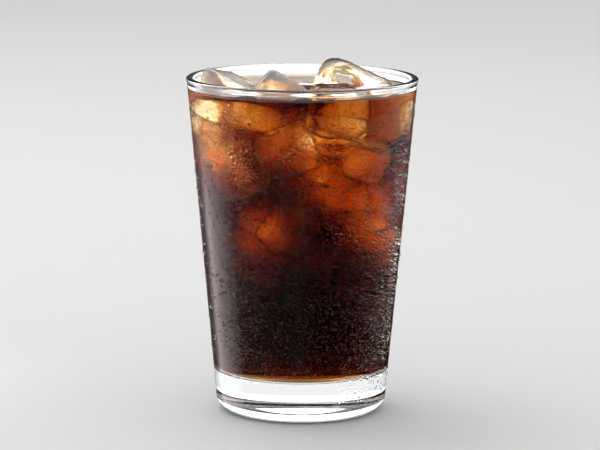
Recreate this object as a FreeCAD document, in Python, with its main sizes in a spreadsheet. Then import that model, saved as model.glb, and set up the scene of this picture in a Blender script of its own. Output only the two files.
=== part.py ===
import FreeCAD, Part
import math
import os

import Sketcher
from FreeCAD import Placement, Rotation, Vector

# A tall tapered tumbler of iced black coffee.
# The tumbler is one piece of pressed glass: a heavy clear foot, a straight
# flared wall and a full-round lip. The coffee fills it to a finger's breadth
# of the lip, and four worn ice pieces stand out of the surface. Millimetres,
# +Z up, origin at the centre of the circle the foot stands on.

doc = FreeCAD.newDocument("iced_coffee")

# ---------------------------------------------------------------- dimensions
SIZES = [
    # tumbler
    ("glass_height", 127.0),     # foot to top of the lip
    ("lip_outer", 43.5),         # outer radius of the wall, carried up to the top
    ("foot_outer", 31.7),        # outer radius of the wall, carried down to the table
    ("lip_inner", 41.3),         # inner radius of the wall, carried up to the top
    ("well_inner", 30.2),        # inner radius of the wall at the inner floor
    ("floor_height", 15.2),      # inner floor above the table
    ("heel_round", 5.8),         # outer rounding at the foot
    ("well_round", 4.6),         # inner rounding round the floor
    ("ring_inner", 22.5),        # hollow underside: inner edge of the standing ring
    ("hollow_depth", 2.2),       # hollow underside: rise at the centre
    # drink
    ("fill_height", 122.7),      # surface of the coffee above the table
    # ice: long side, deep side, thickness, draft over the thickness, edge rounding
    ("right_long", 29.6), ("right_deep", 28.7), ("right_thick", 26.2),
    ("right_draft", 2.0), ("right_round", 7.0),
    ("left_long", 20.2), ("left_deep", 19.4), ("left_thick", 14.0),
    ("left_draft", 2.0), ("left_round", 2.2),
    ("mid_long", 27.4), ("mid_deep", 21.0), ("mid_thick", 20.0),
    ("mid_draft", 2.0), ("mid_round", 2.4),
    ("front_long", 20.8), ("front_deep", 16.0), ("front_thick", 18.4),
    ("front_draft", 2.0), ("front_round", 5.9),
    # ice: where each piece floats (centre) and how it lies (yaw, pitch, roll)
    ("right_px", 18.34), ("right_py", 4.8), ("right_pz", 117.0),
    ("right_yaw", 9.2), ("right_pitch", 24.0), ("right_roll", -1.5),
    ("left_px", -27.3), ("left_py", 3.2), ("left_pz", 119.2),
    ("left_yaw", -34.7), ("left_pitch", 19.5), ("left_roll", -10.6),
    ("mid_px", -9.35), ("mid_py", -5.5), ("mid_pz", 112.3),
    ("mid_yaw", 90.4), ("mid_pitch", 47.4), ("mid_roll", -55.7),
    ("front_px", 11.85), ("front_py", -19.0), ("front_pz", 117.0),
    ("front_yaw", 17.7), ("front_pitch", 1.5), ("front_roll", 9.9),
]
sheet = doc.addObject("Spreadsheet::Sheet", "Sizes")
for row, (alias, value) in enumerate(SIZES, start=1):
    sheet.set("A%d" % row, alias)
    sheet.set("B%d" % row, str(value))
    sheet.setAlias("B%d" % row, alias)
doc.recompute()
D = {alias: float(sheet.get(alias)) for alias, _ in SIZES}


def plane_of(body, role):
    """The body's own origin plane with that role."""
    return next(f for f in body.Origin.OriginFeatures if f.Role == role)


def new_sketch(body, name, role):
    sketch = body.newObject("Sketcher::SketchObject", name)
    sketch.AttachmentSupport = [(plane_of(body, role), "")]
    sketch.MapMode = "FlatFace"
    return sketch


def bind(sketch, constraint, name, formula):
    """Adds a driving constraint, names it and ties it to the sheet."""
    index = sketch.addConstraint(constraint)
    sketch.renameConstraint(index, name)
    sketch.setExpression("Constraints." + name, formula)
    return index


def C(*args):
    return Sketcher.Constraint(*args)


def corner_arc(before, at, after, radius):
    """Centre and tangent points of an arc of that radius in the corner at `at`."""
    u = (before - at).normalize()
    v = (after - at).normalize()
    half = math.acos(max(-1.0, min(1.0, u.dot(v)))) / 2
    reach = radius / math.tan(half)
    middle = (u + v).normalize()
    centre = at + middle * (radius / math.sin(half))
    return centre, at + u * reach, at + v * reach


def arc_through(centre, start, end, radius):
    """Counter-clockwise arc from start to end about centre."""
    a = math.atan2(start.y - centre.y, start.x - centre.x)
    b = math.atan2(end.y - centre.y, end.x - centre.x)
    if b < a:
        b += 2 * math.pi
    return Part.ArcOfCircle(Part.Circle(centre, Vector(0, 0, 1), radius), a, b)


# -------------------------------------------------------------- key positions
top = D["glass_height"]
out_top = Vector(D["lip_outer"], top, 0)
out_foot = Vector(D["foot_outer"], 0, 0)
in_top = Vector(D["lip_inner"], top, 0)
in_floor = Vector(D["well_inner"], D["floor_height"], 0)
axis_floor = Vector(0, D["floor_height"], 0)


def on_line(a, b, height):
    share = (height - a.y) / (b.y - a.y)
    return a + (b - a) * share


# ------------------------------------------------------------------- tumbler
# Half section in the XZ plane, revolved once about Z.
glass = doc.addObject("PartDesign::Body", "Glass")
glass.Label = "glass"
sk = new_sketch(glass, "GlassSection", "XZ_Plane")

hollow_r = (D["ring_inner"] ** 2 + D["hollow_depth"] ** 2) / (2 * D["hollow_depth"])
hollow_c = Vector(0, D["hollow_depth"] - hollow_r, 0)
ring_in = Vector(D["ring_inner"], 0, 0)
hollow_top = Vector(0, D["hollow_depth"], 0)
heel_c, heel_a, heel_b = corner_arc(ring_in, out_foot, out_top, D["heel_round"])
well_c, well_a, well_b = corner_arc(in_top, in_floor, axis_floor, D["well_round"])
lip_r = (D["lip_outer"] - D["lip_inner"]) / 2
lip_y = top - lip_r
lip_a = on_line(out_foot, out_top, lip_y)
lip_b = on_line(in_floor, in_top, lip_y)
lip_c = (lip_a + lip_b) * 0.5

g = [
    sk.addGeometry(arc_through(hollow_c, ring_in, hollow_top, hollow_r)),   # 0 hollow
    sk.addGeometry(Part.LineSegment(ring_in, heel_a)),                      # 1 standing ring
    sk.addGeometry(arc_through(heel_c, heel_a, heel_b, D["heel_round"])),   # 2 heel
    sk.addGeometry(Part.LineSegment(heel_b, lip_a)),                        # 3 outer wall
    sk.addGeometry(arc_through(lip_c, lip_a, lip_b, lip_r)),                # 4 lip
    sk.addGeometry(Part.LineSegment(lip_b, well_a)),                        # 5 inner wall
    sk.addGeometry(arc_through(well_c, well_b, well_a, D["well_round"])),   # 6 inner corner
    sk.addGeometry(Part.LineSegment(well_b, axis_floor)),                   # 7 inner floor
    sk.addGeometry(Part.LineSegment(axis_floor, hollow_top)),               # 8 axis
]
ends = [
    sk.addGeometry(Part.Point(p), True)
    for p in (out_top, out_foot, in_top, in_floor)
]
sk.addConstraint([
    C("Coincident", g[0], 1, g[1], 1),
    C("Tangent", g[1], 2, g[2], 1),
    C("Tangent", g[2], 2, g[3], 1),
    C("Tangent", g[3], 2, g[4], 1),
    C("Tangent", g[4], 2, g[5], 1),
    C("Tangent", g[5], 2, g[6], 2),
    C("Tangent", g[6], 1, g[7], 1),
    C("Coincident", g[7], 2, g[8], 1),
    C("Coincident", g[8], 2, g[0], 2),
    C("PointOnObject", g[7], 2, -2),
    C("PointOnObject", g[8], 2, -2),
    C("PointOnObject", g[0], 3, -2),
    C("PointOnObject", g[1], 1, -1),
    C("Horizontal", g[1]),
    C("Horizontal", g[7]),
    C("PointOnObject", ends[0], 1, g[3]),
    C("PointOnObject", ends[1], 1, g[3]),
    C("PointOnObject", ends[2], 1, g[5]),
    C("PointOnObject", ends[3], 1, g[5]),
])
bind(sk, C("DistanceX", -1, 1, g[1], 1, D["ring_inner"]), "ring_in", "Sizes.ring_inner")
bind(sk, C("DistanceY", -1, 1, g[8], 2, D["hollow_depth"]), "hollow", "Sizes.hollow_depth")
bind(sk, C("Radius", g[2], D["heel_round"]), "heel", "Sizes.heel_round")
bind(sk, C("Radius", g[6], D["well_round"]), "well", "Sizes.well_round")
bind(sk, C("DistanceY", -1, 1, g[7], 2, D["floor_height"]), "floor_up", "Sizes.floor_height")
bind(sk, C("DistanceY", -1, 1, g[4], 3, lip_y), "lip_up",
     "Sizes.glass_height - (Sizes.lip_outer - Sizes.lip_inner) / 2")
for point, label, across, up in (
    (ends[0], "out_top", "Sizes.lip_outer", "Sizes.glass_height"),
    (ends[1], "out_foot", "Sizes.foot_outer", None),
    (ends[2], "in_top", "Sizes.lip_inner", "Sizes.glass_height"),
    (ends[3], "in_floor", "Sizes.well_inner", "Sizes.floor_height"),
):
    geo = sk.Geometry[point]
    bind(sk, C("DistanceX", -1, 1, point, 1, geo.X), label + "_x", across)
    if up is None:
        sk.addConstraint(C("PointOnObject", point, 1, -1))
    else:
        bind(sk, C("DistanceY", -1, 1, point, 1, geo.Y), label + "_y", up)

turn = glass.newObject("PartDesign::Revolution", "GlassTurn")
turn.Profile = sk
turn.ReferenceAxis = (sk, ["V_Axis"])
turn.Angle = 360.0
glass.Tip = turn

# -------------------------------------------------------------------- coffee
# The drink fills the tumbler wall to wall. Its section follows the inner
# floor, the inner corner and the inner wall up to the surface.
fill = doc.addObject("PartDesign::Body", "CoffeeFill")
fill.Label = "coffee_fill"
fs = new_sketch(fill, "CoffeeSection", "XZ_Plane")
brim = on_line(in_floor, in_top, D["fill_height"])
axis_brim = Vector(0, D["fill_height"], 0)
q = [
    fs.addGeometry(Part.LineSegment(axis_floor, well_b)),                   # 0 floor
    fs.addGeometry(arc_through(well_c, well_b, well_a, D["well_round"])),   # 1 corner
    fs.addGeometry(Part.LineSegment(well_a, brim)),                         # 2 wall
    fs.addGeometry(Part.LineSegment(brim, axis_brim)),                      # 3 surface
    fs.addGeometry(Part.LineSegment(axis_brim, axis_floor)),                # 4 axis
]
walls = [fs.addGeometry(Part.Point(p), True) for p in (in_top, in_floor)]
fs.addConstraint([
    C("Tangent", q[0], 2, q[1], 1),
    C("Tangent", q[1], 2, q[2], 1),
    C("Coincident", q[2], 2, q[3], 1),
    C("Coincident", q[3], 2, q[4], 1),
    C("Coincident", q[4], 2, q[0], 1),
    C("Horizontal", q[0]),
    C("Horizontal", q[3]),
    C("PointOnObject", q[3], 2, -2),
    C("PointOnObject", q[0], 1, -2),
    C("PointOnObject", walls[0], 1, q[2]),
    C("PointOnObject", walls[1], 1, q[2]),
])
bind(fs, C("Radius", q[1], D["well_round"]), "corner", "Sizes.well_round")
bind(fs, C("DistanceY", -1, 1, q[0], 1, D["floor_height"]), "floor_up", "Sizes.floor_height")
bind(fs, C("DistanceY", -1, 1, q[3], 2, D["fill_height"]), "brim_up", "Sizes.fill_height")
for point, label, across, up in (
    (walls[0], "in_top", "Sizes.lip_inner", "Sizes.glass_height"),
    (walls[1], "in_floor", "Sizes.well_inner", "Sizes.floor_height"),
):
    geo = fs.Geometry[point]
    bind(fs, C("DistanceX", -1, 1, point, 1, geo.X), label + "_x", across)
    bind(fs, C("DistanceY", -1, 1, point, 1, geo.Y), label + "_y", up)
pour = fill.newObject("PartDesign::Revolution", "CoffeeTurn")
pour.Profile = fs
pour.ReferenceAxis = (fs, ["V_Axis"])
pour.Angle = 360.0
fill.Tip = pour


# ----------------------------------------------------------------------- ice
def slab_sketch(body, name, across, along, up, size):
    """A centred rectangle on the XY plane, lifted by the formula `up`."""
    s = new_sketch(body, name, "XY_Plane")
    s.setExpression("AttachmentOffset.Base.z", up)
    w, d = size
    p = [Vector(-w / 2, -d / 2, 0), Vector(w / 2, -d / 2, 0),
         Vector(w / 2, d / 2, 0), Vector(-w / 2, d / 2, 0)]
    e = [s.addGeometry(Part.LineSegment(p[i], p[(i + 1) % 4])) for i in range(4)]
    s.addConstraint([C("Coincident", e[i], 2, e[(i + 1) % 4], 1) for i in range(4)])
    s.addConstraint([
        C("Horizontal", e[0]), C("Horizontal", e[2]),
        C("Vertical", e[1]), C("Vertical", e[3]),
        C("Symmetric", e[0], 1, e[2], 1, -1, 1),
    ])
    bind(s, C("DistanceX", e[0], 1, e[0], 2, w), "across", across)
    bind(s, C("DistanceY", e[1], 1, e[1], 2, d), "along", along)
    return s


def ice_piece(key):
    """A moulded cube with draft, its edges worn round by melting."""
    body = doc.addObject("PartDesign::Body", "Ice" + key.capitalize())
    body.Label = "ice_" + key
    long_, deep, thick, draft, wear = (
        D[key + "_" + n] for n in ("long", "deep", "thick", "draft", "round"))
    s = "Sizes." + key + "_"
    narrow = slab_sketch(body, "Narrow" + key.capitalize(),
                         s + "long - " + s + "draft", s + "deep - " + s + "draft",
                         "-" + s + "thick / 2", (long_ - draft, deep - draft))
    block = body.newObject("PartDesign::Pad", "Block" + key.capitalize())
    block.Profile = narrow
    block.setExpression("Length", s + "thick")
    # the walls open by half the draft on each side over the thickness
    block.setExpression("TaperAngle", "atan(" + s + "draft / 2 / " + s + "thick)")
    body.Tip = block
    doc.recompute()
    worn = body.newObject("PartDesign::Fillet", "Worn" + key.capitalize())
    worn.Base = (block, ["Edge%d" % (i + 1) for i in range(len(block.Shape.Edges))])
    worn.setExpression("Radius", s + "round")
    body.Tip = worn
    body.Placement = Placement(
        Vector(D[key + "_px"], D[key + "_py"], D[key + "_pz"]),
        Rotation(D[key + "_yaw"], D[key + "_pitch"], D[key + "_roll"]))
    return body


ice = [ice_piece(key) for key in ("left", "mid", "right", "front")]

# The coffee is cut round each ice piece that stands in it.
coffee = fill
for piece in ice:
    rest = doc.addObject("Part::Cut", "CoffeeRound" + piece.Name)
    rest.Base = coffee
    rest.Tool = piece
    rest.Label = "coffee_round_" + piece.Label
    coffee = rest
coffee.Label = "coffee"

doc.recompute()

# --------------------------------------------------------------------- checks
for obj in doc.Objects:
    bad = [flag for flag in obj.State if flag in ("Invalid", "Error")]
    if bad:
        raise RuntimeError("%s is %s" % (obj.Label, bad))

parts = [glass, coffee] + ice
for obj in parts:
    shape = obj.Shape
    if shape.isNull() or not shape.isValid() or len(shape.Solids) != 1:
        raise RuntimeError("%s has a bad shape: %d solids" % (obj.Label, len(shape.Solids)))

for i, a in enumerate(parts):
    for b in parts[i + 1:]:
        shared = a.Shape.common(b.Shape).Volume
        if shared > 1e-3:
            raise RuntimeError("%s and %s overlap by %.3f mm3" % (a.Label, b.Label, shared))

# ---------------------------------------------------------------------- files
DENSITY = {"glass": 2500.0, "coffee": 1000.0}   # kg per cubic metre; ice 917
total = 0.0
os.makedirs("parts", exist_ok=True)
for obj in parts:
    shape = obj.Shape
    mass = shape.Volume * 1e-9 * DENSITY.get(obj.Label, 917.0)
    total += mass
    box = shape.BoundBox
    print("%-10s volume %9.1f mm3  mass %.4f kg  z %.2f..%.2f" % (
        obj.Label, shape.Volume, mass, box.ZMin, box.ZMax))
    shape.exportStep("parts/" + obj.Label + ".step")
print("total %.4f kg" % total)
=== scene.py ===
import math

import bmesh
import bpy
import numpy as np
from mathutils import Euler, Matrix, Vector, noise


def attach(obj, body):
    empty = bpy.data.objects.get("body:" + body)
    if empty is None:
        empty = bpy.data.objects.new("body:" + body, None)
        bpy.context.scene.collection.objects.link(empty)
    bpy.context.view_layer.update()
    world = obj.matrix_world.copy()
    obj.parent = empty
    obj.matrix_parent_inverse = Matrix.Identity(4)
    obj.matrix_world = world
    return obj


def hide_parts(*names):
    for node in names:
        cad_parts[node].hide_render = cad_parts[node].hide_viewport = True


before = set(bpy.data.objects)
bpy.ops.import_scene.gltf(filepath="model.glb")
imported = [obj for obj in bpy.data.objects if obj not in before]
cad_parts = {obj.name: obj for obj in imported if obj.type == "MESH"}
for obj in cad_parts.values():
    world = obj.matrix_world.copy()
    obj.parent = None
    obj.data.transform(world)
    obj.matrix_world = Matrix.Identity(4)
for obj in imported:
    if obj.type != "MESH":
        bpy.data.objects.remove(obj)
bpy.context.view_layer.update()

MM = 0.001
SC = bpy.context.scene
COL = SC.collection

# ------------------------------------------------------------------ tumbler and drink, mm
GLASS_H = 127.0
LIP_OUT, FOOT_OUT = 43.5, 31.7
LIP_IN, WELL_IN = 41.3, 30.2
FLOOR = 15.2
HEEL, WELL = 5.8, 4.6
RING, HOLLOW = 22.5, 2.2
FILL = 122.7
SINK = 0.12          # the drink reaches this far into the wall

DEW_ON = True
WALL_SHINE = 0.30    # a dewy wall under drops gives back less than a dry one
WEAR = 3.9           # how far the ice's edges have melted round

# light levels
FLOOR_COLOUR = (0.80, 0.80, 0.79)
ROUND, OVER, UNDER = 0.25, 4.2, 0.90
SKY, BACK, FRONT, LEFT, RIGHT, KEY = 0.80, 3.40, 0.22, 2.8, 0.10, 4.0


def r_in(z):
    return WELL_IN + (LIP_IN - WELL_IN) * (z - FLOOR) / (GLASS_H - FLOOR)


def r_out(z):
    return FOOT_OUT + (LIP_OUT - FOOT_OUT) * z / GLASS_H


def corner(before, at, after, radius, steps):
    """Points of the arc that rounds the corner `at`, in order."""
    b, a, c = (np.array(p, float) for p in (before, at, after))
    u = (b - a) / np.linalg.norm(b - a)
    v = (c - a) / np.linalg.norm(c - a)
    half = math.acos(float(np.clip(u @ v, -1, 1))) / 2
    mid = (u + v) / np.linalg.norm(u + v)
    cen = a + mid * radius / math.sin(half)
    s, e = a + u * radius / math.tan(half), a + v * radius / math.tan(half)
    a0 = math.atan2(*(s - cen)[::-1])
    a1 = math.atan2(*(e - cen)[::-1])
    d = (a1 - a0 + math.pi) % (2 * math.pi) - math.pi
    return [tuple(cen + radius * np.array([math.cos(a0 + d * k / steps), math.sin(a0 + d * k / steps)]))
            for k in range(steps + 1)]


def run(p, q, step):
    """Points between p and q, ends left out, close together near both ends."""
    p, q = np.array(p, float), np.array(q, float)
    length = float(np.linalg.norm(q - p))
    marks = [m for m in (0.15, 0.4, 0.9, 1.8) if m < length / 2]
    inner = max(1, int((length - 3.6) / step)) if length > 5 else 1
    mids = [1.8 + (length - 3.6) * k / inner for k in range(1, inner)] if length > 5 else []
    t = sorted(marks + mids + [length - m for m in marks])
    return [tuple(p + (q - p) * (x / length)) for x in t]


def lathe(name, profile, sides, wave=None):
    """Turns an (r, z) outline in mm about Z. Points with r = 0 are poles."""
    rings, verts, faces = [], [], []
    for r, z in profile:
        if r < 1e-6:
            rings.append([len(verts)])
            verts.append((0, 0, z * MM))
            continue
        start = len(verts)
        for k in range(sides):
            a = 2 * math.pi * k / sides
            rr = r + (wave(a, r, z) if wave else 0.0)
            verts.append((rr * math.cos(a) * MM, rr * math.sin(a) * MM, z * MM))
        rings.append(list(range(start, start + sides)))
    for lo, hi in zip(rings, rings[1:]):
        for k in range(sides):
            m = (k + 1) % sides
            if len(lo) == 1 and len(hi) == 1:
                continue
            if len(lo) == 1:
                faces.append((lo[0], hi[m], hi[k]))
            elif len(hi) == 1:
                faces.append((lo[k], lo[m], hi[0]))
            else:
                faces.append((lo[k], lo[m], hi[m], hi[k]))
    me = bpy.data.meshes.new(name)
    me.from_pydata(verts, [], faces)
    me.validate()
    fix_normals(me)
    me.polygons.foreach_set("use_smooth", [True] * len(me.polygons))
    return me


def fix_normals(me):
    bm = bmesh.new()
    bm.from_mesh(me)
    bmesh.ops.recalc_face_normals(bm, faces=bm.faces)
    bm.to_mesh(me)
    bm.free()


def add(name, me, mats, *nodes, slot=None):
    ob = bpy.data.objects.new(name, me)
    COL.objects.link(ob)
    for m in mats:
        me.materials.append(m)
    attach(ob, "root")
    if nodes:
        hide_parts(*nodes)
    return ob


# ------------------------------------------------------------------ materials
def new_mat(name):
    m = bpy.data.materials.new(name)
    m.use_nodes = True
    nt = m.node_tree
    nt.nodes.clear()
    out = nt.nodes.new("ShaderNodeOutputMaterial")
    p = nt.nodes.new("ShaderNodeBsdfPrincipled")
    nt.links.new(p.outputs[0], out.inputs["Surface"])
    return m, nt, p, out


def tex(nt, kind, scale, **kw):
    t = nt.nodes.new(kind)
    co = nt.nodes.new("ShaderNodeTexCoord")
    nt.links.new(co.outputs["Object"], t.inputs["Vector"])
    t.inputs["Scale"].default_value = scale
    for k, v in kw.items():
        t.inputs[k].default_value = v
    return t


def ramp(nt, fac, *stops):
    r = nt.nodes.new("ShaderNodeMapRange")
    r.inputs["From Min"].default_value, r.inputs["From Max"].default_value = stops[0], stops[1]
    r.inputs["To Min"].default_value, r.inputs["To Max"].default_value = stops[2], stops[3]
    nt.links.new(fac, r.inputs["Value"])
    return r.outputs["Result"]


def bump(nt, p, height, strength, distance):
    b = nt.nodes.new("ShaderNodeBump")
    b.inputs["Strength"].default_value = strength
    b.inputs["Distance"].default_value = distance
    nt.links.new(height, b.inputs["Height"])
    nt.links.new(b.outputs[0], p.inputs["Normal"])
    return b


def clear(p, ior, rough=0.0, colour=(1, 1, 1), shine=1.0):
    """A see-through surface; shine 0 leaves only its grazing reflection, as on a wetted face."""
    p.inputs["Base Color"].default_value = (*colour, 1)
    p.inputs["Specular Tint"].default_value = (shine, shine, shine, 1)
    p.inputs["Transmission Weight"].default_value = 1.0
    p.inputs["Roughness"].default_value = rough
    p.inputs["IOR"].default_value = ior


def absorb(nt, out, taken):
    """Volume absorption with these exponents per metre."""
    v = nt.nodes.new("ShaderNodeVolumeAbsorption")
    top = max(taken)
    v.inputs["Color"].default_value = (*[1 - t / top for t in taken], 1)
    v.inputs["Density"].default_value = top
    nt.links.new(v.outputs[0], out.inputs["Volume"])


COFFEE_TAKES = (90.0, 188.0, 380.0)      # per metre: red, green, blue


def glass_mat(name, shine):
    m, nt, p, out = new_mat(name)
    clear(p, 1.5, shine=shine)
    n = tex(nt, "ShaderNodeTexNoise", 55.0, Detail=2.0)
    bump(nt, p, n.outputs["Fac"], 0.05, 0.0006)
    return m


def coffee_mat(name, ior):
    m, nt, p, out = new_mat(name)
    clear(p, ior, shine=0.0)
    n = tex(nt, "ShaderNodeTexNoise", 90.0, Detail=2.0)
    bump(nt, p, n.outputs["Fac"], 0.1, 0.0004)
    absorb(nt, out, COFFEE_TAKES)
    return m


def ice_mat(name, ior, shine, cloud=0.0, takes=None, frost=0.0, rough=0.0):
    m, nt, p, out = new_mat(name)
    clear(p, ior, rough, shine=shine)
    p.inputs["Transmission Weight"].default_value = 1.0 - frost
    if cloud:
        v = nt.nodes.new("ShaderNodeVolumeScatter")
        v.inputs["Density"].default_value = cloud
        v.inputs["Anisotropy"].default_value = 0.2
        nt.links.new(v.outputs[0], out.inputs["Volume"])
    if takes:
        absorb(nt, out, takes)
    n = tex(nt, "ShaderNodeTexNoise", 120.0, Detail=3.0)
    bump(nt, p, n.outputs["Fac"], 0.15, 0.0008)
    return m


def drop_mat(name, shine):
    m, nt, p, out = new_mat(name)
    clear(p, 1.333, shine=shine)
    n = tex(nt, "ShaderNodeTexNoise", 400.0, Detail=1.0)
    bump(nt, p, n.outputs["Fac"], 0.05, 0.0002)
    return m


GLASS = glass_mat("tumbler_glass", 1.0)
GLASS_WET = glass_mat("tumbler_glass_wetted", 0.0)
GLASS_DEWY = glass_mat("tumbler_glass_dewy", WALL_SHINE)
COFFEE = coffee_mat("iced_coffee", 1.335)
ICE = ice_mat("clear_ice", 1.31, 1.0, cloud=12.0)
ICE_PLAIN = ice_mat("plain_ice", 1.31, 1.0)
ICE_FROST = ice_mat("frosted_ice", 1.31, 1.0, frost=0.30)
ICE_STAINED = ice_mat("stained_ice", 1.31, 1.0, takes=(5.0, 14.0, 9.0))
ICE_SUNK = ice_mat("sunk_ice", 1.31, 0.0, rough=0.11)
DEW = drop_mat("dew", 1.0)
DEW_BASE = drop_mat("dew_underside", 0.0)

# ------------------------------------------------------------------ glass
prof = [(0.0, HOLLOW)]
hr = (RING ** 2 + HOLLOW ** 2) / (2 * HOLLOW)
for k in range(1, 24):
    x = RING * k / 24
    prof.append((x, HOLLOW - hr + math.sqrt(hr * hr - x * x)))
prof.append((RING, 0.0))
heel = corner((RING, 0), (FOOT_OUT, 0), (LIP_OUT, GLASS_H), HEEL, 14)
prof += run((RING, 0), heel[0], 2.5) + heel
LIP_TOP, BEAD, BEAD_FALL = 0.80, 0.24, 2.0     # how high the lip's round top is, how far its bead stands out, over what height
lip_z = GLASS_H - LIP_TOP
la, lb = (r_out(lip_z - BEAD_FALL), lip_z - BEAD_FALL), (r_in(lip_z - BEAD_FALL), lip_z - BEAD_FALL)
well = corner((LIP_IN, GLASS_H), (WELL_IN, FLOOR), (0, FLOOR), WELL, 14)
prof += run(heel[-1], la, 3.0)
swell = [(k / 12, BEAD * (1 - math.cos(math.pi * k / 12)) / 2) for k in range(1, 12)]
prof += [(r_out(lip_z - BEAD_FALL * (1 - t)) + w, lip_z - BEAD_FALL * (1 - t)) for t, w in swell]
lc = (r_out(lip_z) + r_in(lip_z)) / 2
lr = (r_out(lip_z) - r_in(lip_z)) / 2 + BEAD
prof += [(lc + lr * math.cos(math.pi * k / 20), lip_z + LIP_TOP * math.sin(math.pi * k / 20)) for k in range(21)]
prof += [(r_in(lip_z - BEAD_FALL * (1 - t)) - w, lip_z - BEAD_FALL * (1 - t)) for t, w in swell[::-1]]
prof += run(lb, well[0], 3.0) + well + run(well[-1], (0, FLOOR), 3.0) + [(0.0, FLOOR)]
glass = add("tumbler", lathe("tumbler", prof, 224), [GLASS, GLASS_WET, GLASS_DEWY], "glass", slot="glass")
for poly in glass.data.polygons:         # the inside below the drink's level is wet
    c = poly.center / MM
    if FLOOR - 0.01 < c.z < FILL and math.hypot(c.x, c.y) < r_in(c.z) + 0.3:
        poly.material_index = 1
    elif FLOOR < c.z < FILL and math.hypot(c.x, c.y) > r_out(c.z) - 0.3:
        poly.material_index = 2

# ------------------------------------------------------------------ ice
def block(size, draft, wear, place, turn, cuts=12, seed=0.0, rough=0.35, grow=0.0, fine=0.0):
    """A worn ice block: a cube's grid pushed to a rounded, drafted box, then
    moved in and out a little by slow noise. Returns vertices (mm) and quads."""
    sx, sy, sz = (s / 2 for s in size)
    bm = bmesh.new()
    bmesh.ops.create_cube(bm, size=2.0)
    bmesh.ops.subdivide_edges(bm, edges=bm.edges[:], cuts=cuts, use_grid_fill=True)
    bm.verts.ensure_lookup_table()
    rot = (Matrix.Rotation(math.radians(turn[0]), 3, "Z") @ Matrix.Rotation(math.radians(turn[1]), 3, "Y")
           @ Matrix.Rotation(math.radians(turn[2]), 3, "X"))
    out = []
    for v in bm.verts:
        # more grid lines near the edges, where the rounding is
        g = [math.copysign(abs(c) ** 0.8, c) for c in v.co]
        q = Vector((g[0] * sx, g[1] * sy, g[2] * sz))
        core = Vector([max(-(h - wear), min(h - wear, c)) for c, h in zip(q, (sx, sy, sz))])
        way = q - core
        way = way.normalized() if way.length > 1e-9 else Vector((0, 0, 1))
        p = core + way * wear
        share = 1 - (draft / size[0]) * (0.5 - p.z / (2 * sz))
        p.x *= share
        p.y *= share
        n = noise.noise(Vector((p.x, p.y, p.z)) * 0.085 + Vector((seed * 7.3, seed * 3.1, seed)))
        n2 = noise.noise(Vector((p.x, p.y, p.z)) * 0.21 + Vector((seed, seed * 5.3, seed * 2.7)))
        p += way * (rough * (1.4 * n + 0.6 * n2) + grow)
        if fine:
            p += way * fine * noise.noise(Vector((p.x, p.y, p.z)) * 0.5 + Vector((seed * 1.7, seed, seed * 4.1)))
        out.append(rot @ p + Vector(place))
    faces = [[v.index for v in f.verts] for f in bm.faces]
    bm.free()
    return out, faces


def to_mesh(name, blocks):
    verts, faces = [], []
    for vs, fs in blocks:
        n = len(verts)
        verts += [v * MM for v in vs]
        faces += [[i + n for i in f] for f in fs]
    me = bpy.data.meshes.new(name)
    me.from_pydata(verts, [], faces)
    me.validate()
    fix_normals(me)
    me.polygons.foreach_set("use_smooth", [True] * len(me.polygons))
    return me


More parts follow.
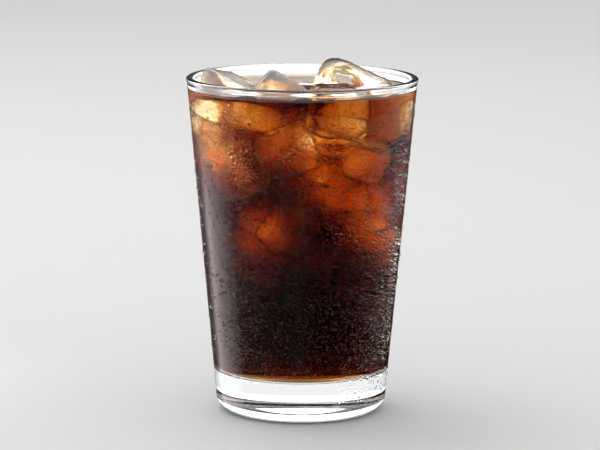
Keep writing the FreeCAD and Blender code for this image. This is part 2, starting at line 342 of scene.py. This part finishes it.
STANDING = {
    "ice_right": dict(size=(29.6, 28.7, 26.2), draft=2.0, wear=7.0, place=(18.34, 4.8, 117.0), turn=(9.2, 24.0, -1.5), seed=1.0),
    "ice_left": dict(size=(20.2, 19.4, 14.0), draft=2.0, wear=2.4, place=(-27.3, 3.2, 119.2), turn=(-34.7, 19.5, -10.6), seed=2.0),
    "ice_mid": dict(size=(27.4, 21.0, 20.0), draft=2.0, wear=2.6, place=(-9.35, -5.5, 112.3), turn=(90.4, 47.4, -55.7), seed=3.0),
    "ice_front": dict(size=(20.8, 16.0, 18.4), draft=2.0, wear=5.9, place=(11.85, -19.0, 117.0), turn=(17.7, 1.5, 9.9), seed=4.0),
}
SUNK = [
    ((17.0, 28.0, 111.3), (28.0, 20.0, 20.5), (-32.0, 0.0, 0.0)),
    ((-11.0, 19.5, 111.2), (26.0, 22.0, 21.0), (12.0, 0.0, 0.0)),
    ((-29.0, 17.5, 112.2), (16.0, 18.0, 18.5), (55.0, 0.0, 0.0)),
    ((-16.5, -21.5, 115.6), (20.0, 13.0, 11.0), (8.0, 14.0, 3.0)),
    ((12.0, 5.0, 101.8), (22.0, 24.0, 14.0), (-8.0, 4.0, 6.0)),
    ((10.0, -20.5, 109.4), (24.0, 19.0, 15.5), (8.0, 7.0, 4.0)),
    ((-35.0, -1.0, 111.8), (8.5, 16.5, 14.0), (0.0, 7.0, 0.0)),
    ((35.0, -4.0, 111.5), (10.0, 12.0, 15.5), (6.0, -7.0, 0.0)),
    ((-13.6, -7.4, 73.6), (29.1, 15.4, 16.5), (-86.5, -137.0, 42.3)),
    ((-15.1, 26.3, 113.4), (16.1, 23.7, 15.5), (135.2, 90.7, 38.0)),
    ((1.4, -7.5, 61.9), (15.2, 15.0, 17.0), (52.3, 109.3, 30.4)),
    ((-22.4, -21.6, 94.8), (15.2, 22.1, 17.1), (-136.3, -0.2, -62.9)),
    ((19.4, -14.5, 81.1), (20.1, 15.1, 24.1), (-130.1, 112.7, 67.1)),
    ((9.5, -2.9, 98.0), (30.4, 21.7, 18.4), (70.8, -164.9, -21.0)),
    ((4.3, -16.2, 89.0), (18.1, 17.2, 22.9), (-129.8, -41.6, 86.7)),
    ((-24.6, -5.0, 92.2), (15.0, 20.1, 16.1), (128.3, 179.9, -130.6)),
    ((-5.2, -24.3, 73.1), (15.7, 15.5, 17.1), (-43.6, 34.3, -15.8)),
    ((20.0, 10.3, 71.3), (18.0, 15.5, 17.6), (89.7, 155.6, 15.3)),
    ((-5.4, 18.2, 95.8), (23.9, 24.3, 17.6), (38.9, 78.7, -66.3)),
    ((-30.6, -15.5, 109.2), (25.1, 15.0, 17.6), (-132.7, -84.7, -108.4)),
    ((-6.5, 23.7, 73.7), (15.0, 15.8, 16.7), (-85.5, 134.2, 143.6)),
    ((17.4, 11.5, 88.2), (25.0, 26.8, 17.9), (-145.6, -104.9, -141.3)),
    ((-4.8, -27.9, 103.4), (15.8, 15.8, 20.9), (104.1, 137.2, 119.8)),
    ((-12.5, 9.3, 64.3), (15.0, 15.7, 16.2), (55.1, 144.1, -113.6)),
    ((-25.9, 10.2, 100.3), (15.8, 19.0, 23.7), (143.2, 159.9, 68.0)),
    ((21.6, -6.7, 65.9), (22.6, 20.9, 16.5), (-168.0, 145.5, -36.3)),
    ((21.7, -19.4, 98.1), (17.3, 17.3, 16.0), (-173.5, 157.3, 162.8)),
    ((8.8, -0.7, 80.3), (15.7, 18.1, 15.1), (126.8, -91.8, 96.0)),
    ((5.8, 28.2, 110.7), (18.3, 21.0, 15.1), (1.5, -22.9, 7.4)),
    ((-14.1, -18.9, 59.2), (18.4, 15.6, 15.3), (157.1, -29.4, 24.6)),
]
ICE_GAP = 0.06
def boolean(ob, me, how):
    """Applies one boolean with the given tool mesh, which is used up."""
    tool = bpy.data.objects.new("tool", me)
    COL.objects.link(tool)
    mod = ob.modifiers.new("cut", "BOOLEAN")
    mod.operation = how
    mod.object = tool
    mod.solver = "MANIFOLD"
    dg = bpy.context.evaluated_depsgraph_get()
    new = bpy.data.meshes.new_from_object(ob.evaluated_get(dg))
    ob.modifiers.clear()
    old = ob.data
    ob.data = new
    bpy.data.meshes.remove(old)
    bpy.data.objects.remove(tool)
    bpy.data.meshes.remove(me)


def tidy(me):
    """Takes out the flat flaps a boolean leaves: two faces back to back on the same points."""
    bm = bmesh.new()
    bm.from_mesh(me)
    seen, flaps = {}, set()
    for f in bm.faces:
        key = frozenset(v.index for v in f.verts)
        if key in seen:
            flaps |= {seen[key], f}
        else:
            seen[key] = f
    bmesh.ops.delete(bm, geom=list(flaps), context="FACES")
    loose = sum(1 for e in bm.edges if len(e.link_faces) != 2)
    bm.to_mesh(me)
    bm.free()
    print(me.name, len(me.polygons), "faces,", len(flaps), "taken out,", loose, "open edges, mended:", me.validate())


def standing_blocks(grow):
    return {k: block(cuts=26, grow=grow, rough=0.45, fine=0.22, **kw) for k, kw in STANDING.items()}


def trim_tool(gap):
    """The space that sunk ice may fill: the drink, a gap off the wall and the surface."""
    out = [(0.0, FLOOR + gap)] + [(r - gap, z + gap) for r, z in corner((LIP_IN, GLASS_H), (WELL_IN, FLOOR), (0, FLOOR), WELL, 6)[::-1]]
    out += [(r_in(z) - gap, z) for z in (40, 60, 80, 100)] + [(r_in(FILL - 1 - gap) - gap, FILL - 1 - gap), (0.0, FILL - 1 - gap)]
    return lathe("trim", out, 160)


def sunk_mesh(grow, name, mat):
    ob = bpy.data.objects.new(name, to_mesh(name, [block(grow=grow, **SUNK_KW[0])]))
    COL.objects.link(ob)
    for kw in SUNK_KW[1:]:
        boolean(ob, to_mesh("tool", [block(grow=grow, **kw)]), "UNION")
    boolean(ob, trim_tool(0.45 - grow), "INTERSECT")
    for blk in standing_blocks(0.32 - grow).values():
        boolean(ob, to_mesh("tool", [blk]), "DIFFERENCE")
    me = ob.data
    me.materials.clear()
    me.materials.append(mat)
    bpy.data.objects.remove(ob)
    me.polygons.foreach_set("use_smooth", [True] * len(me.polygons))
    me.set_sharp_from_angle(angle=math.radians(38))
    return me


for name, blk in standing_blocks(ICE_GAP).items():
    mats = {"ice_front": [ICE_STAINED], "ice_right": [ICE]}.get(name, [ICE_PLAIN, ICE_FROST])
    piece = add(name + "_piece", to_mesh(name + "_piece", [blk]), mats, name, slot="ice")
    if len(mats) > 1:                    # the part that stands in the air is frosted
        for poly in piece.data.polygons:
            poly.material_index = int(poly.center.z / MM > FILL + 0.3)
SUNK_KW = [dict(size=s, draft=1.2, wear=WEAR, place=c, turn=e, seed=10.0 + i, rough=0.5)
           for i, (c, s, e) in enumerate(SUNK)]
sunk = add("ice_sunk", sunk_mesh(ICE_GAP, "ice_sunk", ICE_SUNK), [], slot="ice")
tidy(sunk.data)

# ------------------------------------------------------------------ coffee
inner = corner((LIP_IN, GLASS_H), (WELL_IN, FLOOR), (0, FLOOR), WELL, 14)
grown = [(r + SINK, z - SINK * 0.7) for r, z in inner]
RISE = 0.5
edge_z = FILL + RISE
cp = [(0.0, FLOOR - SINK)] + run((0, FLOOR - SINK), grown[-1], 3.0) + grown[::-1]
cp += run(grown[0], (r_in(edge_z) + SINK, edge_z), 3.0)
for k in range(0, 13):          # the surface climbs the wall
    t = k / 12
    cp.append((r_in(FILL) + SINK - 1.8 * t, FILL + RISE * (1 - t) ** 2.6))
for k in range(1, 14):
    cp.append(((r_in(FILL) + SINK - 1.8) * (1 - k / 14), FILL))
cp.append((0.0, FILL))
me = lathe("coffee_body", cp, 224)
coffee = add("coffee_body", me, [COFFEE], "coffee", slot="coffee")


for blk in standing_blocks(0.0).values():
    tm = to_mesh("tool", [blk])
    tm.materials.append(COFFEE)
    boolean(coffee, tm, "DIFFERENCE")
boolean(coffee, sunk_mesh(0.0, "hollow", COFFEE), "DIFFERENCE")
tidy(coffee.data)
coffee.data.polygons.foreach_set("use_smooth", [True] * len(coffee.data.polygons))
coffee.data.set_sharp_from_angle(angle=math.radians(40))
print("coffee faces", len(coffee.data.polygons), [m.name for m in coffee.data.materials],
      np.bincount([p.material_index for p in coffee.data.polygons]))

# ------------------------------------------------------------------ dew on the outside
TAPER = (LIP_OUT - FOOT_OUT) / GLASS_H
DEW_KINDS = [  # name, radius from, to (mm), how many tries, how many at most, sides, rings
    ("dew_large", 0.62, 0.92, 2600, 1100, 10, 3),
    ("dew_medium", 0.44, 0.62, 16000, 3600, 8, 3),
    ("dew_small", 0.30, 0.44, 40000, 6200, 7, 2),
    ("dew_fine", 0.17, 0.28, 30000, 7600, 6, 2),
]


def dew_share(theta, z, radius):
    """How much of the surface takes drops here: patchy, bare near the rim and along the left side."""
    x, y = math.cos(theta), math.sin(theta)
    patch = noise.noise(Vector((x * 2.2, y * 2.2, z * 0.045)))
    fine = noise.noise(Vector((x * 7.0 + 9.0, y * 7.0, z * 0.16)))
    share = 0.72 + 0.55 * patch + 0.30 * fine
    top = (121.0 + 2.0 * patch - z) / 5.0
    low = (z - 18.0) / 9.0 if z > 18.0 else 0.30 * max(0.0, min(1.0, (x * 0.9 - 0.30) / 0.25)) if y < 0.2 else 0.15
    side = min((x + 0.86) / 0.26, (0.985 - x) / 0.10) if y < 0.3 else 1.0
    share *= max(0.0, min(1.0, top)) * max(0.0, min(1.0, low)) * max(0.04, min(1.0, side))
    if radius > 0.6:
        share *= 0.55 + 0.45 * max(0.0, min(1.0, (112 - z) / 30))
    return share


def throw_drops(seed):
    rng = np.random.default_rng(seed)
    cell, taken, kinds = 1.0, {}, {}
    for name, lo, hi, tries, most, sides, rings in DEW_KINDS:
        out = []
        th = rng.uniform(-math.pi, math.pi, tries)
        zz = rng.uniform(5.0, 121.5, tries)
        rr = lo + (hi - lo) * rng.uniform(0, 1, tries) ** 1.6
        luck = rng.uniform(0, 1, tries)
        for t, z, r, u in zip(th, zz, rr, luck):
            if u > dew_share(t, z, r):
                continue
            ro = r_out(z)
            if z < HEEL + 1.5 + r:
                continue
            a = t * 38.0
            i, j = int(a // cell), int(z // cell)
            free = True
            for di in (-2, -1, 0, 1, 2):
                for dj in (-2, -1, 0, 1, 2):
                    for (t2, z2, r2) in taken.get((i + di, j + dj), ()):
                        if ((t2 - t) * ro) ** 2 + (z2 - z) ** 2 < (r + r2 + 0.04) ** 2:
                            free = False
                            break
                    if not free:
                        break
                if not free:
                    break
            if free:
                taken.setdefault((i, j), []).append((t, z, r))
                out.append((t, z, r))
                if len(out) >= most:
                    break
        kinds[name] = (np.array(out), sides, rings)
    return kinds


def drops_mesh(name, drops, sides, rings, rng):
    """Closed low domes, base a hair inside the wall, each a little uneven and sagging."""
    n = len(drops)
    t, z, r = drops[:, 0], drops[:, 1], drops[:, 2]
    ro = FOOT_OUT + TAPER * z
    nk = math.hypot(1, TAPER)
    P = np.stack([ro * np.cos(t), ro * np.sin(t), z], -1)
    T = np.stack([-np.sin(t), np.cos(t), 0 * t], -1)
    B = np.stack([TAPER * np.cos(t), TAPER * np.sin(t), np.ones(n)], -1) / nk
    N = np.stack([np.cos(t), np.sin(t), -TAPER * np.ones(n)], -1) / nk
    al = 2 * np.pi * np.arange(sides) / sides
    p2, p3 = rng.uniform(0, 2 * np.pi, (2, n))
    a2, a3 = rng.uniform(0.02, 0.11, n), rng.uniform(0.0, 0.06, n)
    out = 1 + a2[:, None] * np.cos(2 * al + p2[:, None]) + a3[:, None] * np.cos(3 * al + p3[:, None])
    tall = r * rng.uniform(0.62, 0.86, n)
    sag = r * rng.uniform(0.02, 0.22, n)
    base = -0.03
    V = np.empty((n, sides * rings + 1, 3))
    for k in range(rings):
        ph = 0.5 * math.pi * k / rings
        w = out * (r * math.cos(ph))[:, None]
        h = base + tall * math.sin(ph)
        aa, bb = w * np.cos(al), w * np.sin(al) * 1.06 - (sag * math.sin(ph))[:, None]
        V[:, k * sides:(k + 1) * sides] = P[:, None] + aa[..., None] * T[:, None] + bb[..., None] * B[:, None] + h[:, None, None] * N[:, None]
    V[:, -1] = P - sag[:, None] * B + (base + tall)[:, None] * N
    m = sides * rings + 1
    f4, f3 = [], []
    for k in range(rings - 1):
        for i in range(sides):
            j = (i + 1) % sides
            f4.append((k * sides + i, k * sides + j, (k + 1) * sides + j, (k + 1) * sides + i))
    for i in range(sides):
        j = (i + 1) % sides
        f3.append(((rings - 1) * sides + i, (rings - 1) * sides + j, m - 1))
        if 0 < i < sides - 1:
            f3.append((0, i + 1, i))
    off = (np.arange(n) * m)[:, None, None]
    q4 = (np.array(f4)[None] + off).reshape(-1, 4)
    q3 = (np.array(f3)[None] + off).reshape(-1, 3)
    me = bpy.data.meshes.new(name)
    nv, n4, n3 = n * m, len(q4), len(q3)
    me.vertices.add(nv)
    me.vertices.foreach_set("co", (V.reshape(-1) * MM).astype(np.float32))
    me.loops.add(n4 * 4 + n3 * 3)
    me.loops.foreach_set("vertex_index", np.concatenate([q4.reshape(-1), q3.reshape(-1)]).astype(np.int32))
    me.polygons.add(n4 + n3)
    me.polygons.foreach_set("loop_start", np.concatenate([np.arange(n4) * 4, n4 * 4 + np.arange(n3) * 3]).astype(np.int32))
    me.update(calc_edges=True)
    me.validate()
    me.polygons.foreach_set("use_smooth", [True] * len(me.polygons))
    ed = np.empty(len(me.edges) * 2, np.int32)
    me.edges.foreach_get("vertices", ed)
    ed = ed.reshape(-1, 2) % m
    d = np.abs(ed[:, 0] - ed[:, 1])
    rim = (ed < sides).all(1) & ((d == 1) | (d == sides - 1))
    sharp = me.attributes.new("sharp_edge", "BOOLEAN", "EDGE")
    sharp.data.foreach_set("value", rim)
    lv = np.empty(len(me.loops), np.int32)
    me.loops.foreach_get("vertex_index", lv)
    under = np.ones(len(me.polygons), np.int32)
    under[:n4] = 0
    tri = (lv[n4 * 4:].reshape(-1, 3) % m)
    under[n4:] = (tri < sides).all(1)
    if rings == 1:
        under[:] = 0
    me.materials.append(DEW)
    me.materials.append(DEW_BASE)
    me.polygons.foreach_set("material_index", under)
    return me


if DEW_ON:
    dew_rng = np.random.default_rng(77)
    for name, (drops, sides, rings) in throw_drops(41).items():
        add(name, drops_mesh(name, drops, sides, rings, dew_rng), [])
        print(name, len(drops), "drops")

# ------------------------------------------------------------------ stage, light, camera
def stage_mat(name, colour, rough):
    m, nt, p, out = new_mat(name)
    n = tex(nt, "ShaderNodeTexNoise", 3.0, Detail=4.0)
    mix = nt.nodes.new("ShaderNodeMix")
    mix.data_type = "RGBA"
    nt.links.new(ramp(nt, n.outputs["Fac"], 0.35, 0.65, 0.0, 1.0), mix.inputs["Factor"])
    mix.inputs["A"].default_value = (*[c * 0.985 for c in colour], 1)
    mix.inputs["B"].default_value = (*colour, 1)
    nt.links.new(mix.outputs["Result"], p.inputs["Base Color"])
    p.inputs["Roughness"].default_value = rough
    return m


def staged(name, verts, faces, mat):
    me = bpy.data.meshes.new(name)
    me.from_pydata(verts, [], faces)
    me.materials.append(mat)
    ob = bpy.data.objects.new(name, me)
    COL.objects.link(ob)
    return ob


S = 6.0
floor = staged("floor", [(-S, -S, -0.0002), (S, -S, -0.0002), (S, S, -0.0002), (-S, S, -0.0002)], [(0, 1, 2, 3)],
               stage_mat("floor", FLOOR_COLOUR, 0.9))
floor.visible_glossy = False

world = bpy.data.worlds.new("studio")
SC.world = world
world.use_nodes = True
wn = world.node_tree
wn.nodes.clear()
wo = wn.nodes.new("ShaderNodeOutputWorld")
bg = wn.nodes.new("ShaderNodeBackground")
co = wn.nodes.new("ShaderNodeTexCoord")
sep = wn.nodes.new("ShaderNodeSeparateXYZ")
wn.links.new(co.outputs["Generated"], sep.inputs[0])
mr = wn.nodes.new("ShaderNodeMapRange")       # dark well below the horizon, a soft bright sky above it
mr.interpolation_type = "SMOOTHSTEP"
mr.inputs["From Min"].default_value = -0.10
mr.inputs["From Max"].default_value = -0.055
mr.inputs["To Min"].default_value = 0.02
mr.inputs["To Max"].default_value = SKY
wn.links.new(sep.outputs["Z"], mr.inputs["Value"])
wn.links.new(mr.outputs["Result"], bg.inputs["Strength"])
bg.inputs["Color"].default_value = (1, 1, 1, 1)
wn.links.new(bg.outputs[0], wo.inputs["Surface"])
world.cycles_visibility.glossy = False        # reflections see the cards below instead


def glow_mat(name, strength, fade=None, colour=(1, 1, 1)):
    """An even emitter; each fade (axis, from, to, least) brings it up smoothly along x, y or z in metres."""
    m = bpy.data.materials.new(name)
    m.use_nodes = True
    nt = m.node_tree
    nt.nodes.clear()
    out = nt.nodes.new("ShaderNodeOutputMaterial")
    em = nt.nodes.new("ShaderNodeEmission")
    em.inputs["Strength"].default_value = strength
    em.inputs["Color"].default_value = (*colour, 1)
    clearer = nt.nodes.new("ShaderNodeBsdfTransparent")
    both = nt.nodes.new("ShaderNodeMixShader")
    both.inputs[0].default_value = 1.0
    nt.links.new(clearer.outputs[0], both.inputs[1])
    nt.links.new(em.outputs[0], both.inputs[2])
    nt.links.new(both.outputs[0], out.inputs["Surface"])
    last = None
    for axis, lo, hi, least in fade or ():
        c = nt.nodes.new("ShaderNodeTexCoord")
        sp = nt.nodes.new("ShaderNodeSeparateXYZ")
        nt.links.new(c.outputs["Object"], sp.inputs[0])
        r = nt.nodes.new("ShaderNodeMapRange")
        r.interpolation_type = "SMOOTHSTEP"
        r.inputs["From Min"].default_value, r.inputs["From Max"].default_value = lo, hi
        r.inputs["To Min"].default_value = least
        nt.links.new(sp.outputs[axis], r.inputs["Value"])
        if last is None:
            last = r.outputs["Result"]
        else:
            mul = nt.nodes.new("ShaderNodeMath")
            mul.operation = "MULTIPLY"
            nt.links.new(last, mul.inputs[0])
            nt.links.new(r.outputs["Result"], mul.inputs[1])
            last = mul.outputs[0]
    if last is not None:
        nt.links.new(last, both.inputs[0])
    return m


def seen_by(ob, transmission=False, glossy=False):
    ob.visible_camera = False
    ob.visible_diffuse = False
    ob.visible_shadow = False
    ob.visible_volume_scatter = False
    ob.visible_transmission = transmission
    ob.visible_glossy = glossy


def ring_wall(name, radius, z0, z1, mat, sides=96, a0=0.0, a1=360.0):
    n = sides + 1
    vs, fs = [], []
    for k in range(n):
        a = math.radians(a0 + (a1 - a0) * k / sides)
        vs += [(radius * math.cos(a), radius * math.sin(a), z0), (radius * math.cos(a), radius * math.sin(a), z1)]
        if k:
            fs.append((2 * k - 2, 2 * k, 2 * k + 1, 2 * k - 1))
    return staged(name, vs, fs, mat)


# light that shines through the drink from all round: a bright card ring, brightest at the back
back = ring_wall("card_ring", 0.30, -0.0001, 0.175, glow_mat("card_light", BACK, [("Z", 0.150, 0.120, 0.0), ("Z", 0.089, 0.078, 0.55), ("Z", 0.0, 0.03, 0.28), ("Y", -0.22, 0.06, FRONT)]))
seen_by(back, transmission=True)
# the soft strip in the left side of the wall, and a fainter one in the right
left = ring_wall("card_left", 0.17, -0.12, 0.085, glow_mat("left_light", LEFT, [("Z", 0.085, 0.03, 0.0), ("Y", -0.075, 0.02, 0.0), ("Y", 0.115, 0.08, 0.1)], (1.0, 0.87, 0.89)), 48, 135.0, 192.0)
seen_by(left, glossy=True)
rightc = ring_wall("card_right", 0.17, -0.12, 0.12, glow_mat("right_light", RIGHT, [("Y", -0.02, 0.03, 0.0)]), 24, -8.0, 20.0)
seen_by(rightc, glossy=True)
# a dim surround and a bright card overhead for everything else that shines
round_ = ring_wall("card_round", 1.2, -0.6, 1.0, glow_mat("round_light", ROUND, [("Y", 0.6, -0.3, 0.35), ("X", 0.45, 0.0, 0.06)]), 48)
seen_by(round_, glossy=True)
over = staged("card_over", [(-0.6, 0.3, 1.0), (0.6, 0.3, 1.0), (0.6, 1.1, 1.0), (-0.6, 1.1, 1.0)], [(0, 1, 2, 3)], glow_mat("over_light", OVER, None, (1.0, 0.89, 0.92)))
seen_by(over, glossy=True)
# a glowing disc on the floor under the glass, seen only through the thick base: painted light that makes the floor
# there look paler
under = staged("card_under", [(0.30 * math.cos(2 * math.pi * k / 64), 0.30 * math.sin(2 * math.pi * k / 64), -0.0001) for k in range(64)],
               [tuple(range(64))], glow_mat("under_light", UNDER))
seen_by(under, transmission=True)


def area(name, where, at, size, power, colour=(1, 1, 1)):
    L = bpy.data.lights.new(name, "AREA")
    L.shape = "RECTANGLE"
    L.size, L.size_y = size
    L.energy = power
    L.color = colour
    o = bpy.data.objects.new(name, L)
    o.location = where
    o.rotation_euler = (Vector(at) - Vector(where)).to_track_quat("-Z", "Y").to_euler()
    o.visible_camera = False
    COL.objects.link(o)
    return o


area("soft_top", (-0.5, 0.5, 1.1), (0, 0, 0.0), (1.0, 1.0), KEY)

cam = bpy.data.cameras.new("camera")
cam.sensor_width = 36.0
cam.lens = 3117.0 / 600.0 * 36.0
cam.clip_start, cam.clip_end = 0.05, 50.0
co_ = bpy.data.objects.new("camera", cam)
COL.objects.link(co_)
pitch, roll = math.radians(9.640), math.radians(0.264)
fwd = Vector((0, math.cos(pitch), -math.sin(pitch)))
up = Vector((0, math.sin(pitch), math.cos(pitch)))
right = Vector((1, 0, 0))
cr, sr = math.cos(roll), math.sin(roll)
x_axis = right * cr + up * sr
y_axis = up * cr - right * sr
co_.matrix_world = Matrix((
    (x_axis.x, y_axis.x, -fwd.x, -0.59 * MM),
    (x_axis.y, y_axis.y, -fwd.y, -1163.7 * MM),
    (x_axis.z, y_axis.z, -fwd.z, 268.0 * MM),
    (0, 0, 0, 1)))
SC.camera = co_

SC.view_settings.view_transform = "Standard"
SC.view_settings.look = "None"
cy = SC.cycles
cy.max_bounces = 48
cy.transmission_bounces = 48
cy.glossy_bounces = 12
cy.diffuse_bounces = 4
cy.transparent_max_bounces = 32
cy.volume_bounces = 3
cy.sample_clamp_indirect = 6.0
